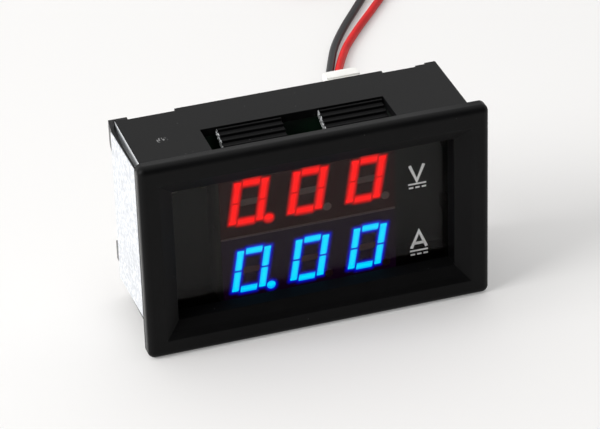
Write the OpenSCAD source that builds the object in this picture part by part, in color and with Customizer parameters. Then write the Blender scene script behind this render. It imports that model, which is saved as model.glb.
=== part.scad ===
// Dual digital panel meter: a snap-in housing with a recessed window, two
// three-digit displays, a circuit board and a plugged-in pair of supply leads.
// X runs across the front, +Y runs into the panel and +Z is up. The front faces -Y.

/* [Bezel] */
// Width of the front flange
bezel_w = 48; // [46:0.5:60]
// Height of the front flange
bezel_h = 29; // [28:0.5:36]
// Thickness of the flange plate
bezel_t = 2; // [1.6:0.1:3]
// Radius of the flange's front edges and corners
bezel_r = 1; // [0.4:0.1:1.4]
// Flat front frame at each side
frame_side = 2.6; // [1.5:0.1:3.5]
// Flat front frame at the top
frame_top = 2.8; // [1.5:0.1:3.5]
// Flat front frame at the bottom
frame_bottom = 2.5; // [1.5:0.1:3.5]
// Width that the sloping band takes at each side
slope_side = 2.05; // [1:0.05:2.5]
// Width that the sloping band takes at the top
slope_top = 1.95; // [1:0.05:2.5]
// Width that the sloping band takes at the bottom
slope_bottom = 2.25; // [1:0.05:2.5]
// Depth of the sloping band
slope_depth = 1.3; // [0.6:0.1:1.8]
// Depth of the seat that the lens rests on
lens_depth = 3.7; // [3:0.1:4.5]

/* [Housing shell] */
// Width of the part that passes through the panel
shell_w = 45.4; // [44:0.1:52]
// Height of the part that passes through the panel
shell_h = 25.7; // [25:0.1:30]
// Distance from the front face to the shell's open rear edge
shell_depth = 17.2; // [16.5:0.1:24]
// Wall of the shell
wall = 1.2; // [0.8:0.1:1.3]
// Radius along the shell's long edges
shell_r = 0.3; // [0.1:0.1:0.6]

/* [Latch window] */
// Width of the window in the top wall
window_w = 25.4; // [22:0.2:30]
// Distance from the front face to the window's front end
window_front = 4.2; // [3.8:0.1:4.6]
// Distance from the window's rear end to the circuit board
window_board_gap = 0.5; // [0.3:0.1:2]
// Width of each ribbed tongue
tongue_w = 8.9; // [6:0.1:9]
// Thickness of each ribbed tongue
tongue_t = 0.9; // [0.6:0.1:1]
// Clearance between a tongue's free end and the display under it
tongue_clear = 0.36; // [0.2:0.02:1]
// Gap between a tongue's free end and the lens in front of it
tongue_lens_gap = 0.95; // [0.3:0.05:1.5]
// Spacing of the grip ribs
rib_pitch = 0.95; // [0.8:0.05:1.2]
// Height of a grip rib
rib_h = 0.3; // [0.1:0.05:0.4]

/* [Side clips] */
// Gap between a clip's leaf and the shell
leaf_gap = 0.67; // [0.5:0.01:0.8]
// Thickness of a clip's leaf at its bend
leaf_t = 0.36; // [0.3:0.02:0.5]
// Thickness of a clip's leaf at its free end
leaf_tip_t = 0.22; // [0.16:0.02:0.34]
// Gap between the leaf's free end and the back of the flange
leaf_tip_gap = 0.5; // [0.3:0.05:1]
// Distance from the front face to the end of the leaf's flat part
leaf_flat_end = 14.1; // [12:0.1:14.6]
// Height of a leaf, measured from the shell's top edge
leaf_h = 22.7; // [18:0.1:24]

/* [Lens] */
// Thickness of the lens
lens_t = 1; // [0.8:0.1:1.5]
// Gap between the lens and the shell around it
lens_gap = 0.2; // [0.1:0.05:0.4]
// Gap between the lens and the displays behind it
display_gap = 0.2; // [0.1:0.05:0.5]

/* [Displays] */
// Width of a display module
module_w = 24.4; // [24:0.1:26]
// Height of a display module
module_h = 10.35; // [10:0.05:10.4]
// Depth of a display module
module_d = 6; // [5:0.1:6.5]
// Gap between the two display modules
module_gap = 0.1; // [0.05:0.05:0.3]
// Spacing of the digits
digit_pitch = 8.16; // [7.6:0.02:8.3]
// Width of a digit
digit_w = 4.7; // [4:0.1:5.2]
// Height of a digit
digit_h = 6.7; // [6:0.1:7.2]
// Slant of the digits
digit_slant = 9.5; // [0:0.5:12]
// Width of a segment
stroke = 0.95; // [0.6:0.05:1.1]
// Gap between neighbouring segments
stroke_gap = 0.26; // [0.15:0.01:0.4]
// Amount by which the side segments stop short of the digit's top and bottom
stroke_inset = 0.28; // [0.1:0.02:0.4]
// Diameter of a decimal point
point_d = 1.2; // [0.8:0.05:1.3]
// Depth of the light bars behind each segment
light_bar_d = 4.4; // [3:0.1:4.8]

/* [Circuit board] */
// Thickness of the board
board_t = 1.6; // [1:0.1:2]
// Gap between the board's edges and the shell
board_gap = 0.2; // [0.1:0.05:0.3]
// Depth of the ledges that the board rests on
ledge = 0.8; // [0.5:0.1:1]
// Reach of the catches that hold the board
catch_reach = 0.5; // [0.3:0.05:0.6]

/* [Supply connector] */
// Spacing of the two supply contacts
supply_pitch = 1.5; // [1.5:0.05:2]
// Place of the supply connector across the board
supply_x = 10.6; // [8:0.1:13]
// Distance from the board's top edge to the supply connector's centre
supply_drop = 2.25; // [2.25:0.05:4]
// Height of the supply header above the board
supply_header_h = 6; // [5:0.1:8]
// Width of the supply plug
plug_w = 4.7; // [4.5:0.1:6]
// Height of the supply plug
plug_h = 3.5; // [3:0.1:4]
// Length of the supply plug
plug_len = 9; // [7:0.1:10]
// Diameter of a supply lead
lead_d = 1.25; // [1:0.05:1.4]

/* [Measuring connector] */
// Spacing of the three measuring pins
measuring_pitch = 3.96; // [3.5:0.02:5]
// Height of the measuring header above the board
measuring_h = 9.5; // [7:0.1:12]
// Place of the measuring header across the board
measuring_x = -12.6; // [-13:0.1:-12.6]
// Height of the measuring header's centre above the board's lower edge
measuring_z = 15.95; // [14:0.05:16.2]

/* [Trimmers] */
// Width of a trimmer's base
trimmer_w = 4.4; // [3.6:0.1:5]
// Diameter of a trimmer's rotor
rotor_d = 3.2; // [2.6:0.1:3.4]
// Running clearance round a rotor
rotor_gap = 0.06; // [0.03:0.01:0.1]

/* [Hidden] */
eps = 0.01;
far = 100;

// Distances behind the front face
display_front = lens_depth + lens_t + display_gap;
board_front = display_front + module_d;
board_back = board_front + board_t;
window_back = board_front - window_board_gap;
overall_d = board_back + measuring_h;
face_y = -overall_d / 2;

// Opening of the flange
open_left = -bezel_w / 2 + frame_side;
open_right = -open_left;
open_low = frame_bottom;
open_high = bezel_h - frame_top;
deep_left = open_left + slope_side;
deep_right = -deep_left;
deep_low = open_low + slope_bottom;
deep_high = open_high - slope_top;

// Shell, inside and out
mid_z = bezel_h / 2;
shell_low = mid_z - shell_h / 2;
shell_high = mid_z + shell_h / 2;
inner_w = shell_w - 2 * wall;
inner_low = shell_low + wall;
inner_high = shell_high - wall;
inner_h = inner_high - inner_low;

// Tongues: the left one has a wide gap beside it and the right one a narrow gap
tongue_gap = 0.2;
tongue_left_gap = 2.2;
tongue_drop = 0.4;
tongue_x = [-window_w / 2 + tongue_left_gap, window_w / 2 - tongue_gap - tongue_w];
tongue_root = 0.6;
rib_w = 0.5;
rib_start = 0.25;

// Shallow notches in the rear edge of the top wall: near end and far end, measured from the
// shell's left side where the sign is -1 and from its right side where it is 1, and the depth
rear_notches = [[-1, 1.9, 8.4, 0.6], [1, 3.1, 7.8, 0.6], [1, 1.7, 3.1, 0.3]];

// Side clip
leaf_tip_y = bezel_t + leaf_tip_gap;
leaf_tip_gap_x = leaf_gap - 0.05;
upper_lug_h = 3.66;
lug_r = 0.9;
label_t = 0.1;

// Displays
display_x = 0.1;
lower_module_z = inner_low;
upper_module_z = lower_module_z + module_h + module_gap;
modules_top = upper_module_z + module_h;

// Ramp of the tongues: their free ends clear the upper display and the lens
tongue_fall = shell_high - tongue_drop - modules_top - tongue_clear;
tongue_reach = window_back - lens_depth - lens_t - tongue_lens_gap;
function ramp_angle(guess, rounds) = rounds == 0 ? guess :
    ramp_angle(atan((tongue_fall - tongue_t * cos(guess)) / tongue_reach), rounds - 1);
tongue_slope = ramp_angle(24, 6);
tongue_len = tongue_reach / cos(tongue_slope);
rib_count = 1 + floor((tongue_len - rib_start - rib_w) / rib_pitch);
digit_columns = [-digit_pitch, 0, digit_pitch];
point_offset = [digit_w / 2 + 0.3, -digit_h / 2 + 0.3];
pin_pitch = 2.54;
pin_rows = 7.62;
pin_count = 6;
pin_r = 0.25;
pin_hole_r = 0.4;
pin_tail = 0.9;

// Board and what is soldered to it
board_w = inner_w - 2 * board_gap;
board_low = inner_low + board_gap;
board_h = inner_h - 2 * board_gap;
supply_z = board_h - supply_drop;
header_wall = 0.5;
header_gap = 0.12;
header_floor = 1.1;
supply_pin = 0.5;
supply_hole_r = 0.4;
measuring_pin = 1.14;
measuring_hole_r = 0.85;
measuring_base_h = 3.2;
measuring_depth = 8.4;
shunt_d = 1.5;
shunt_span = 13.4;
shunt_h = 4.4;
shunt_bend = 2;
shunt_x = -12.2;
shunt_z = 5.15;
shunt_hole_r = 0.8;
voltage_trimmer_at = [17.6, 12.15];
current_trimmer_at = [6.2, 15.35];
trimmer_base_h = 1.7;
rotor_h = 0.8;
rotor_floor = 0.9;

// Routes of the two leads, from the plug to where the coil takes them
table_z = lead_d / 2;
black_route = [
    [9.85, 9.8, 23.7], [9.85, 11.8, 23.7], [9.95, 13.5, 23.5], [10.3, 16.2, 21.8], [11.2, 19, 18.9],
    [12.1, 22, 15.1], [13.1, 25, 11.1], [14, 28, 7.4], [15, 31.2, 4.3], [16.1, 35, 2],
    [17.5, 39.5, 0.9], [19.2, 44.5, table_z], [21.2, 50, table_z], [23.5, 55.6, table_z],
    [26.4, 62.2, table_z], [29.9, 68, table_z], [33.9, 73.7, table_z],
    [37, 78.3, table_z], [39.4, 83, table_z], [40.9, 86.8, table_z]
];
red_route = [
    [11.35, 9.8, 23.7], [11.35, 11.8, 23.7], [11.45, 13.5, 23.5], [11.8, 16.2, 21.8], [12.7, 19, 18.9],
    [13.6, 22, 15.1], [14.6, 25, 11.1], [15.5, 28, 7.4], [16.5, 31.2, 4.3], [17.6, 35, 2],
    [19, 39.5, 0.9], [20.7, 44.5, table_z], [22.6, 49.8, table_z], [24.85, 55.4, table_z],
    [28.1, 61.6, table_z], [32.1, 67.2, table_z], [36.2, 72.4, table_z],
    [39.6, 77, 0.7], [41.5, 81.6, 1.2], [41.9, 86, 1.8], [41.3, 89.8, 1.9]
];
route_steps = 2;
coil_at = [33, 89];
coil_inner = 4.3;
coil_outer = 8.9;

black_plastic = "#1c1d1f";
white_plastic = "#e9e8e2";
solder_metal = "#c9c9c6";
board_green = "#1f5a35";

module behind_face(y) {
    translate([0, face_y + y, 0]) children();
}

// Places children on the rear of the board, z above its lower edge, with their own +Z
// pointing rearward and their own +Y pointing up.
module on_board(x, z) {
    behind_face(board_back) translate([x, 0, board_low + z]) rotate([90, 0, 180]) children();
}

// Extrudes a front view, drawn in x and z, from depth y0 to depth y1
module front_view(y0, y1) {
    behind_face(y1) rotate([90, 0, 0]) linear_extrude(y1 - y0) children();
}

module rounded_rectangle(w, h, r) {
    translate([-w / 2 + r, -h / 2]) square([w - 2 * r, h]);
    translate([-w / 2, -h / 2 + r]) square([w, h - 2 * r]);
    for (sx = [-1, 1], sy = [-1, 1]) {
        translate([sx * (w / 2 - r), sy * (h / 2 - r)]) circle(r, $fn = 48);
    }
}

// Half-section of the flange's rim: full thickness with a rounded front edge
module rim_profile() {
    square([bezel_r, bezel_t - bezel_r]);
    translate([0, bezel_t - bezel_r]) intersection() {
        circle(bezel_r, $fn = 48);
        square(bezel_r);
    }
}

// One straight side of the flange's rim, running along X with its outside towards -Y
module rim_side(length) {
    translate([-length / 2, 0, 0]) rotate([90, 0, 90]) linear_extrude(length)
        mirror([1, 0]) rim_profile();
}

// Flange plate, lying in the XY plane with its rounded front edge at the top
module flange_plate() {
    core_w = bezel_w - 2 * bezel_r;
    core_h = bezel_h - 2 * bezel_r;
    translate([-core_w / 2, -core_h / 2, 0]) cube([core_w, core_h, bezel_t]);
    for (side = [-1, 1]) {
        translate([0, side * core_h / 2, 0]) rotate([0, 0, side > 0 ? 180 : 0])
            rim_side(core_w);
        translate([side * core_w / 2, 0, 0]) rotate([0, 0, side * 90]) rim_side(core_h);
    }
    for (k = [0:3]) {
        sx = (k == 0 || k == 3) ? 1 : -1;
        sy = k < 2 ? 1 : -1;
        translate([sx * core_w / 2, sy * core_h / 2, 0]) rotate([0, 0, 90 * k])
            rotate_extrude(angle = 90, $fn = 48) rim_profile();
    }
}

// Sloping band: a wedge in the top view crossed with a wedge in the side view
module sloping_band() {
    intersection() {
        translate([0, face_y, -far / 2]) linear_extrude(2 * far) polygon([
            [open_left, 0], [open_right, 0], [deep_right, slope_depth], [deep_left, slope_depth]
        ]);
        translate([-far / 2, face_y, 0]) rotate([90, 0, 90]) linear_extrude(far) polygon([
            [0, open_low], [0, open_high], [slope_depth, deep_high], [slope_depth, deep_low]
        ]);
    }
}

// Side view of a tongue: a ramp that hangs from the window's rear edge, with ribs on top
module tongue_profile() {
    translate([window_back, shell_high - tongue_drop]) rotate(tongue_slope) {
        difference() {
            translate([-tongue_len, -tongue_t]) square([tongue_len + tongue_root, tongue_t]);
            translate([-tongue_len, -tongue_t]) circle(0.35, $fn = 24);
        }
        for (k = [0:rib_count - 1]) {
            translate([-rib_start - k * rib_pitch, 0]) polygon([
                [-rib_w / 2, 0], [-rib_w / 4, rib_h], [rib_w / 4, rib_h], [rib_w / 2, 0]
            ]);
        }
    }
}

module tongue(x) {
    translate([x, face_y, 0]) rotate([90, 0, 90]) linear_extrude(tongue_w)
        intersection() {
            tongue_profile();
            square([window_back + tongue_root, shell_high - 0.1]);
        }
}

// Plan of the left clip: an S-bend out of the shell's rear edge, then a leaf that thins forward
module clip_plan() {
    face = -shell_w / 2;
    inside = face - leaf_gap;
    outside = inside - leaf_t;
    tip_in = face - leaf_tip_gap_x;
    tip_out = tip_in - leaf_tip_t;
    polygon([
        [face + wall / 2, shell_depth], [face - leaf_gap, shell_depth],
        [outside - 0.04, leaf_flat_end], [outside, shell_depth - 4],
        [tip_out, leaf_tip_y + 1.8], [tip_out + 0.04, leaf_tip_y],
        [tip_in, leaf_tip_y], [tip_in, leaf_tip_y + 1.8],
        [inside, shell_depth - 4.4], [inside + 0.07, shell_depth - 3],
        [face - 0.36, shell_depth - 1.7], [face, shell_depth - 0.4],
        [face + wall / 2, shell_depth - 0.4]
    ]);
}

// Side view of the clip: the leaf, and behind it the two lugs that join it to the shell
module clip_outline() {
    leaf_low = shell_high - leaf_h;
    translate([leaf_tip_y, leaf_low]) square([leaf_flat_end - leaf_tip_y, leaf_h]);
    translate([leaf_flat_end - 1, shell_high - upper_lug_h + lug_r])
        square([shell_depth - leaf_flat_end + 1, upper_lug_h - lug_r]);
    translate([leaf_flat_end - 1, shell_high - upper_lug_h])
        square([shell_depth - leaf_flat_end + 1 - lug_r, upper_lug_h]);
    translate([shell_depth - lug_r, shell_high - upper_lug_h + lug_r]) circle(lug_r, $fn = 32);
    polygon([
        [shell_depth, leaf_low + 1.3], [leaf_flat_end - 1, leaf_low + 2.6],
        [leaf_flat_end - 1, leaf_low + 6.2], [shell_depth, leaf_low + 4.1]
    ]);
}

module side_clip() {
    intersection() {
        translate([0, face_y, shell_low]) linear_extrude(shell_h) clip_plan();
        translate([-bezel_w, face_y, 0]) rotate([90, 0, 90]) linear_extrude(bezel_w)
            clip_outline();
    }
}

// Ledges in front of the board and catches behind it, on both side walls
module board_supports() {
    for (side = [-1, 1]) {
        translate([side * inner_w / 2, 0, mid_z]) {
            translate([side > 0 ? -ledge : -eps, face_y + display_front, -6])
                cube([ledge + eps, module_d, 2]);
            translate([side > 0 ? -ledge : -eps, face_y + display_front, 4])
                cube([ledge + eps, module_d, 2]);
            translate([0, face_y, -2]) linear_extrude(4) polygon([
                [side * eps, board_back + 0.1], [-side * catch_reach, board_back + 0.1],
                [-side * catch_reach, board_back + 0.4], [side * eps, board_back + 1.8]
            ]);
        }
    }
}

module housing() {
    color(black_plastic) union() {
        difference() {
            union() {
                translate([0, face_y + bezel_t, mid_z]) rotate([90, 0, 0]) flange_plate();
                front_view(bezel_t - eps, shell_depth) translate([0, mid_z])
                    rounded_rectangle(shell_w, shell_h, shell_r);
            }
            sloping_band();
            front_view(slope_depth - eps, lens_depth + eps)
                translate([deep_left, deep_low])
                square([deep_right - deep_left, deep_high - deep_low]);
            front_view(lens_depth, shell_depth + 1)
                translate([-inner_w / 2, inner_low]) square([inner_w, inner_h]);
            front_view(window_front, window_back)
                translate([-window_w / 2, inner_high - eps]) square([window_w, wall + 1]);
            for (n = rear_notches) {
                front_view(shell_depth - n[3], shell_depth + 1)
                    mirror([n[0] < 0 ? 1 : 0, 0])
                    translate([shell_w / 2 - n[2], inner_high - eps])
                    square([n[2] - n[1], wall + 1]);
            }
        }
        for (x = tongue_x) tongue(x);
        side_clip();
        translate([0, 0, mid_z]) rotate([0, 180, 0]) translate([0, 0, -mid_z]) side_clip();
        board_supports();
    }
}

module lens() {
    color([0.16, 0.15, 0.17, 0.5]) front_view(lens_depth, lens_depth + lens_t)
        translate([-inner_w / 2 + lens_gap, inner_low + lens_gap])
        square([inner_w - 2 * lens_gap, inner_h - 2 * lens_gap]);
}

// Blank paper label on the outside of the left clip's leaf
module side_label() {
    face = -shell_w / 2;
    outside = face - leaf_gap - leaf_t;
    tip = face - leaf_tip_gap_x - leaf_tip_t;
    color("white") translate([0, face_y, shell_high - leaf_h + 0.1]) linear_extrude(leaf_h - 0.2)
        polygon([
            [outside - 0.04, leaf_flat_end], [outside, shell_depth - 4], [tip, leaf_tip_y + 1.8],
            [tip + 0.04, leaf_tip_y], [tip + 0.04 - label_t, leaf_tip_y],
            [tip - label_t, leaf_tip_y + 1.8], [outside - label_t, shell_depth - 4],
            [outside - 0.04 - label_t, leaf_flat_end]
        ]);
}

// Shifts a point sideways with its height, for the digits' slant
function lean(p) = [p[0] + p[1] * tan(digit_slant), p[1]];

module bar(x0, x1, y0, y1) {
    polygon([lean([x0, y0]), lean([x1, y0]), lean([x1, y1]), lean([x0, y1])]);
}

// Side segments of one digit: two at each side, with a gap at half height
module side_segments() {
    for (x = [-digit_w / 2, digit_w / 2 - stroke], s = [-1, 1]) {
        top = digit_h / 2 - stroke_inset;
        bar(x, x + stroke, s > 0 ? stroke_gap / 2 : -top, s > 0 ? top : -stroke_gap / 2);
    }
}

// Cross segment with its centre line at height y
module cross_segment(y) {
    half = digit_w / 2 - stroke - stroke_gap;
    bar(-half, half, y - stroke / 2, y + stroke / 2);
}

module zero_digit() {
    side_segments();
    cross_segment(digit_h / 2 - stroke / 2);
    cross_segment(-digit_h / 2 + stroke / 2);
}

module decimal_point() {
    translate(point_offset) circle(d = point_d, $fn = 32);
}

module lit_shapes() {
    for (x = digit_columns) translate([x, 0]) zero_digit();
    translate([digit_columns[0], 0]) decimal_point();
}

module unlit_shapes() {
    for (x = digit_columns) translate([x, 0]) cross_segment(0);
    for (k = [1, 2]) translate([digit_columns[k], 0]) decimal_point();
}

module light_bars(module_z, past_front = 0) {
    front_view(display_front - past_front, display_front + light_bar_d)
        translate([display_x, module_z + module_h / 2]) children();
}

// Display body: an opaque block with a shaft for each segment's light bar
module display_body(module_z) {
    difference() {
        front_view(display_front, display_front + module_d)
            translate([display_x - module_w / 2, module_z]) square([module_w, module_h]);
        light_bars(module_z, eps) {
            lit_shapes();
            unlit_shapes();
        }
    }
}

module red_display_body() {
    color("#26272b") display_body(upper_module_z);
}

module blue_display_body() {
    color("#26272b") display_body(lower_module_z);
}

module red_segments_lit() {
    color("red") light_bars(upper_module_z) lit_shapes();
}

module red_segments_unlit() {
    color("dimgray") light_bars(upper_module_z) unlit_shapes();
}

module blue_segments_lit() {
    color("deepskyblue") light_bars(lower_module_z) lit_shapes();
}

module blue_segments_unlit() {
    color("dimgray") light_bars(lower_module_z) unlit_shapes();
}

// Both rows of pins of one display, as x and z places
function pin_places(module_z) = [
    for (k = [0:pin_count - 1], s = [-1, 1])
        [display_x + (k - (pin_count - 1) / 2) * pin_pitch,
         module_z + module_h / 2 + s * pin_rows / 2]
];
all_pin_places = concat(pin_places(lower_module_z), pin_places(upper_module_z));

module display_pins() {
    color(solder_metal) for (p = all_pin_places) {
        behind_face(board_front) translate([p[0], 0, p[1]]) rotate([-90, 0, 0])
            cylinder(r = pin_r, h = board_t + pin_tail, $fn = 24);
    }
}

function spaced(count, pitch) = [for (k = [0:count - 1]) (k - (count - 1) / 2) * pitch];

module board_hole(x, z, r) {
    behind_face(board_front - 1) translate([x, 0, board_low + z]) rotate([-90, 0, 0])
        cylinder(r = r, h = board_t + 2, $fn = 24);
}

module circuit_board() {
    color(board_green) difference() {
        front_view(board_front, board_back)
            translate([-board_w / 2, board_low]) square([board_w, board_h]);
        for (p = all_pin_places) board_hole(p[0], p[1] - board_low, pin_hole_r);
        for (x = spaced(2, supply_pitch)) board_hole(supply_x + x, supply_z, supply_hole_r);
        for (x = spaced(3, measuring_pitch))
            board_hole(measuring_x + x, measuring_z, measuring_hole_r);
        for (x = spaced(2, shunt_span)) board_hole(shunt_x + x, shunt_z, shunt_hole_r);
    }
}

// Open-ended box header; the plug slides in between its walls
module supply_header() {
    inner_x = plug_w + 2 * header_gap;
    inner_y = plug_h + 2 * header_gap;
    color(white_plastic) on_board(supply_x, supply_z) difference() {
        linear_extrude(supply_header_h)
            square([inner_x + 2 * header_wall, inner_y + 2 * header_wall], center = true);
        translate([0, 0, header_floor]) linear_extrude(supply_header_h)
            square([inner_x, inner_y], center = true);
        for (s = [-1, 1]) {
            translate([s * inner_x / 4, -inner_y / 2 - header_wall - eps, header_floor + 0.8])
                linear_extrude(supply_header_h) translate([-0.45, 0])
                square([0.9, header_wall + 2 * eps]);
        }
        for (x = spaced(2, supply_pitch)) {
            translate([x, 0, -1]) linear_extrude(header_floor + 2)
                square(supply_pin, center = true);
        }
    }
}

module supply_header_pins() {
    color("gold") on_board(supply_x, supply_z) for (x = spaced(2, supply_pitch)) {
        translate([x, 0, -board_t]) linear_extrude(board_t + supply_header_h - 1.6)
            square(supply_pin, center = true);
    }
}

plug_start = header_floor + 0.2;
contact_w = 1;
contact_len = plug_len - 2.4;

// Plug housing with one shaft for each contact and two guide ribs
module supply_plug() {
    color(white_plastic) on_board(supply_x, supply_z) translate([0, 0, plug_start]) {
        difference() {
            union() {
                linear_extrude(plug_len) square([plug_w, plug_h], center = true);
                translate([0, 0, plug_len - 2.2]) linear_extrude(1.4)
                    square([plug_w, plug_h + 0.5], center = true);
            }
            for (x = spaced(2, supply_pitch)) {
                translate([x, 0, -1]) linear_extrude(plug_len + 2)
                    square(lead_d + 0.06, center = true);
            }
        }
    }
}

// Crimped contacts: a square spring box that grips the pin, and a barrel round the lead's core
module supply_contacts() {
    color("silver") on_board(supply_x, supply_z) translate([0, 0, plug_start + 0.3])
        for (x = spaced(2, supply_pitch)) {
            translate([x, 0, 0]) difference() {
                linear_extrude(contact_len) square(contact_w, center = true);
                translate([0, 0, -1]) linear_extrude(supply_header_h - plug_start)
                    square(supply_pin + 0.1, center = true);
            }
        }
}

// Measuring header: a base with a locking wall along one side
module measuring_header() {
    base_w = 3 * measuring_pitch;
    color(white_plastic) on_board(measuring_x, measuring_z) difference() {
        union() {
            linear_extrude(measuring_base_h)
                square([base_w, measuring_depth], center = true);
            translate([0, measuring_depth / 2 - 0.5, 0]) linear_extrude(measuring_h)
                square([base_w - 3, 1], center = true);
            translate([-base_w / 2 + 1.5, measuring_depth / 2 - 1.3, measuring_h - 1.2])
                rotate([90, 0, 90]) linear_extrude(base_w - 3)
                polygon([[0, 0.3], [0.4, 0], [0.4, 1.2], [0.2, 1.2]]);
        }
        for (x = spaced(3, measuring_pitch)) {
            translate([x, 0, -1]) linear_extrude(measuring_base_h + 2)
                square(measuring_pin, center = true);
        }
        for (x = spaced(2, measuring_pitch)) {
            translate([x, -measuring_depth / 2, measuring_base_h - 0.8]) linear_extrude(1)
                square([0.8, measuring_depth], center = true);
        }
    }
}

module measuring_header_pins() {
    color(solder_metal) on_board(measuring_x, measuring_z)
        for (x = spaced(3, measuring_pitch)) {
            translate([x, 0, -board_t]) linear_extrude(board_t + measuring_h - 0.9)
                square(measuring_pin, center = true);
        }
}

// Current shunt: a stout wire bent to a staple with both ends through the board
module shunt() {
    leg = board_t + shunt_h - shunt_d / 2 - shunt_bend;
    run = shunt_span - 2 * shunt_bend;
    color("silver") on_board(shunt_x, shunt_z) union() {
        for (s = [-1, 1]) {
            translate([s * shunt_span / 2, 0, -board_t])
                cylinder(d = shunt_d, h = leg, $fn = 32);
            translate([s * run / 2, 0, shunt_h - shunt_d / 2 - shunt_bend])
                rotate([90, 0, 0]) rotate([0, 0, s > 0 ? 0 : 90])
                rotate_extrude(angle = 90, $fn = 48)
                translate([shunt_bend, 0]) circle(d = shunt_d, $fn = 32);
        }
        translate([-run / 2, 0, shunt_h - shunt_d / 2]) rotate([0, 90, 0])
            cylinder(d = shunt_d, h = run, $fn = 32);
    }
}

// Gull-wing leg seen from the side: it leaves the body at height h and lands on the board
module leg_profile(h, reach) {
    t = 0.15;
    polygon([
        [0, h], [reach * 0.35, h], [reach * 0.55, t], [reach, t], [reach, 0],
        [reach * 0.45, 0], [reach * 0.25, h - t], [0, h - t]
    ]);
}

// Chip with two rows of legs along its X sides
module chip(w, d, h, rows, pitch, leg_w, reach) {
    stand = 0.1;
    union() {
        translate([0, 0, stand]) linear_extrude(h - stand) difference() {
            square([w, d], center = true);
            translate([-w / 2, 0]) circle(0.4, $fn = 24);
        }
        for (y = spaced(rows, pitch), s = [0, 180]) {
            rotate([0, 0, s]) translate([w / 2 - eps, y + leg_w / 2, 0]) rotate([90, 0, 0])
                linear_extrude(leg_w) leg_profile(h / 2 + 0.1, reach);
        }
    }
}

module controller_chip() {
    color("#222222") on_board(-0.4, 4.95) rotate(90) chip(4.4, 6.5, 1, 10, 0.65, 0.25, 1);
}

module amplifier_chip() {
    color("#222222") on_board(-1.6, 15.35) chip(3.9, 4.9, 1.5, 4, 1.27, 0.42, 1);
}

// Regulator: a small block with a heat tab above and three legs below
module regulator() {
    color("#222222") on_board(12.2, 13.55) {
        translate([0, 0, 0.15]) linear_extrude(1.35) square([4.5, 2.5], center = true);
        linear_extrude(0.15) {
            translate([-0.85, 0]) square([1.7, 2]);
            for (x = spaced(3, 1.5)) translate([x - 0.22, -2.05]) square([0.44, 1.6]);
        }
    }
}

// Moulded diode with a folded lead at each end
module protection_diode() {
    color("#2b2b2b") on_board(16.9, 17.95) {
        translate([0, 0, 0.1]) linear_extrude(2.1) square([4.3, 2.6], center = true);
        for (s = [-1, 1]) {
            translate([s * 2.3, 0, 0]) linear_extrude(1.2) square([0.6, 1.5], center = true);
        }
    }
}

// Moulded tantalum capacitor
module filter_capacitor() {
    color("goldenrod") on_board(17.2, 5.55) {
        translate([0, 0, 0.1]) linear_extrude(1.8) square([3.5, 2.8], center = true);
        for (s = [-1, 1]) {
            translate([s * 1.7, 0, 0]) linear_extrude(1) square([0.5, 2.2], center = true);
        }
    }
}

chip_part_w = 1.6;
chip_part_d = 0.8;
chip_cap_w = 0.35;
chip_cap_t = 0.03;
// Places of the small parts: x, height above the board's lower edge, and 1 where upright
capacitor_places = [
    [5.6, 6.5, 0], [5.6, 3.6, 0], [9.4, 9.5, 0], [12.6, 9.5, 0], [4.2, 21.35, 1],
    [-4.4, 10.15, 0]
];
resistor_places = [
    [9.4, 6.5, 0], [9.4, 4.8, 0], [9.4, 3.1, 0], [12.6, 6.5, 0], [12.6, 4.8, 0],
    [12.6, 3.1, 0], [-1.6, 10.15, 0], [1.4, 10.15, 0], [-3.2, 21.35, 1], [-1.4, 21.35, 1],
    [0.4, 21.35, 1], [2.2, 21.35, 1], [14.2, 1.4, 0], [17.4, 1.8, 0]
];

// Chip part: a low body between two metal caps that wrap round its ends
module chip_part(h) {
    linear_extrude(h - chip_cap_t) square([chip_part_w, chip_part_d - 2 * chip_cap_t], center = true);
    for (s = [-1, 1]) {
        translate([s * (chip_part_w - chip_cap_w) / 2, 0]) linear_extrude(h)
            square([chip_cap_w, chip_part_d], center = true);
    }
}

module chip_capacitors() {
    color("tan") for (p = capacitor_places) {
        on_board(p[0], p[1]) rotate(90 * p[2]) chip_part(0.8);
    }
}

module chip_resistors() {
    color("black") for (p = resistor_places) {
        on_board(p[0], p[1]) rotate(90 * p[2]) chip_part(0.45);
    }
}

// Trimmer base: a square block with a round pocket and a pivot for the rotor
module trimmer_base() {
    difference() {
        linear_extrude(trimmer_base_h) square(trimmer_w, center = true);
        translate([0, 0, rotor_floor])
            cylinder(d = rotor_d + 2 * rotor_gap, h = trimmer_base_h, $fn = 48);
    }
    translate([0, 0, rotor_floor - eps]) cylinder(r = 0.4, h = rotor_h - 0.1, $fn = 24);
}

// Trimmer rotor: a disc with a cross slot, turning on the pivot
module trimmer_rotor() {
    translate([0, 0, rotor_floor + 0.05]) difference() {
        cylinder(d = rotor_d, h = rotor_h + 0.15, $fn = 48);
        translate([0, 0, -1]) cylinder(r = 0.4 + rotor_gap, h = rotor_h + 1, $fn = 24);
        for (turn = [0, 90]) rotate([0, 0, turn]) translate([-1.15, -0.25, rotor_h - 0.25])
            cube([2.3, 0.5, 1]);
    }
}

module voltage_trimmer() {
    color("#2f6fc4") on_board(voltage_trimmer_at[0], voltage_trimmer_at[1]) trimmer_base();
}

module voltage_trimmer_rotor() {
    color("white") on_board(voltage_trimmer_at[0], voltage_trimmer_at[1]) trimmer_rotor();
}

module current_trimmer() {
    color("#2f6fc4") on_board(current_trimmer_at[0], current_trimmer_at[1]) trimmer_base();
}

module current_trimmer_rotor() {
    color("white") on_board(current_trimmer_at[0], current_trimmer_at[1]) trimmer_rotor();
}

// Smooth curve through a list of points
function curve_point(a, b, c, d, t) =
    0.5 * (2 * b + (c - a) * t + (2 * a - 5 * b + 4 * c - d) * t * t
        + (3 * b - a - 3 * c + d) * t * t * t);

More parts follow.
